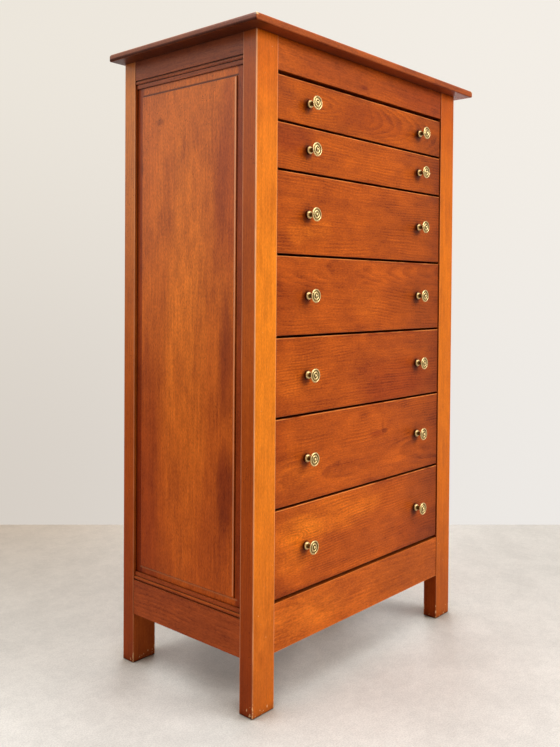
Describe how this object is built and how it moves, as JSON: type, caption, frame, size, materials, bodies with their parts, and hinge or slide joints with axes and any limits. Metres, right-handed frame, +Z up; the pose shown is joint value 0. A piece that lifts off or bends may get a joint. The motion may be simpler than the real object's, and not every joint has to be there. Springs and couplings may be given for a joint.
{
  "type": "semainier chest of drawers",
  "caption": "Tall narrow wooden chest of drawers on square posts, with beaded side panels, an overhanging top and turned brass knobs.",
  "frame": {"origin": "on the floor, below the middle of the top board", "axes": "+Z up, the drawers open towards -Y, +X to the right of someone facing the front"},
  "size_m": [0.812, 0.446, 1.35],
  "materials": {
    "carcass_wood": "satin varnish",
    "top_wood": "satin varnish",
    "panel_wood": "satin varnish",
    "drawer_wood": "satin varnish",
    "inner_wood": "bare, planed",
    "bottom_wood": "bare plywood",
    "back_wood": "thinly stained",
    "brass": "aged brass, rubbed bright on the edges",
    "steel": "dull zinc"
  },
  "bodies": {
    "carcass": {"top": "top_wood", "front_left_post": "carcass_wood", "front_right_post": "carcass_wood", "rear_left_post": "carcass_wood", "rear_right_post": "carcass_wood", "front_top_rail": "carcass_wood", "front_bottom_rail": "carcass_wood", "left_top_rail": "carcass_wood", "left_bottom_rail": "carcass_wood", "left_panel": "panel_wood", "right_top_rail": "carcass_wood", "right_bottom_rail": "carcass_wood", "right_panel": "panel_wood", "back_rails": "back_wood", "back_panel": "back_wood", "drawer_runners": "inner_wood", "top_buttons": "inner_wood", "carcass_screws": "steel"},
    "drawer_1": {"drawer_1_front": "drawer_wood", "drawer_1_sides": "inner_wood", "drawer_1_back": "inner_wood", "drawer_1_bottom": "bottom_wood", "drawer_1_knobs": "brass", "drawer_1_knob_screws": "steel"},
    "drawer_2": {"drawer_2_front": "drawer_wood", "drawer_2_sides": "inner_wood", "drawer_2_back": "inner_wood", "drawer_2_bottom": "bottom_wood", "drawer_2_knobs": "brass", "drawer_2_knob_screws": "steel"},
    "drawer_3": {"drawer_3_front": "drawer_wood", "drawer_3_sides": "inner_wood", "drawer_3_back": "inner_wood", "drawer_3_bottom": "bottom_wood", "drawer_3_knobs": "brass", "drawer_3_knob_screws": "steel"},
    "drawer_4": {"drawer_4_front": "drawer_wood", "drawer_4_sides": "inner_wood", "drawer_4_back": "inner_wood", "drawer_4_bottom": "bottom_wood", "drawer_4_knobs": "brass", "drawer_4_knob_screws": "steel"},
    "drawer_5": {"drawer_5_front": "drawer_wood", "drawer_5_sides": "inner_wood", "drawer_5_back": "inner_wood", "drawer_5_bottom": "bottom_wood", "drawer_5_knobs": "brass", "drawer_5_knob_screws": "steel"},
    "drawer_6": {"drawer_6_front": "drawer_wood", "drawer_6_sides": "inner_wood", "drawer_6_back": "inner_wood", "drawer_6_bottom": "bottom_wood", "drawer_6_knobs": "brass", "drawer_6_knob_screws": "steel"},
    "drawer_7": {"drawer_7_front": "drawer_wood", "drawer_7_sides": "inner_wood", "drawer_7_back": "inner_wood", "drawer_7_bottom": "bottom_wood", "drawer_7_knobs": "brass", "drawer_7_knob_screws": "steel"}
  },
  "joints": [
    {"name": "drawer_1_slide", "type": "slide", "parent": "carcass", "child": "drawer_1", "axis": [0, -1, 0], "range_m": [0, 0.3]},
    {"name": "drawer_2_slide", "type": "slide", "parent": "carcass", "child": "drawer_2", "axis": [0, -1, 0], "range_m": [0, 0.3]},
    {"name": "drawer_3_slide", "type": "slide", "parent": "carcass", "child": "drawer_3", "axis": [0, -1, 0], "range_m": [0, 0.3]},
    {"name": "drawer_4_slide", "type": "slide", "parent": "carcass", "child": "drawer_4", "axis": [0, -1, 0], "range_m": [0, 0.3]},
    {"name": "drawer_5_slide", "type": "slide", "parent": "carcass", "child": "drawer_5", "axis": [0, -1, 0], "range_m": [0, 0.3]},
    {"name": "drawer_6_slide", "type": "slide", "parent": "carcass", "child": "drawer_6", "axis": [0, -1, 0], "range_m": [0, 0.3]},
    {"name": "drawer_7_slide", "type": "slide", "parent": "carcass", "child": "drawer_7", "axis": [0, -1, 0], "range_m": [0, 0.3]}
  ]
}
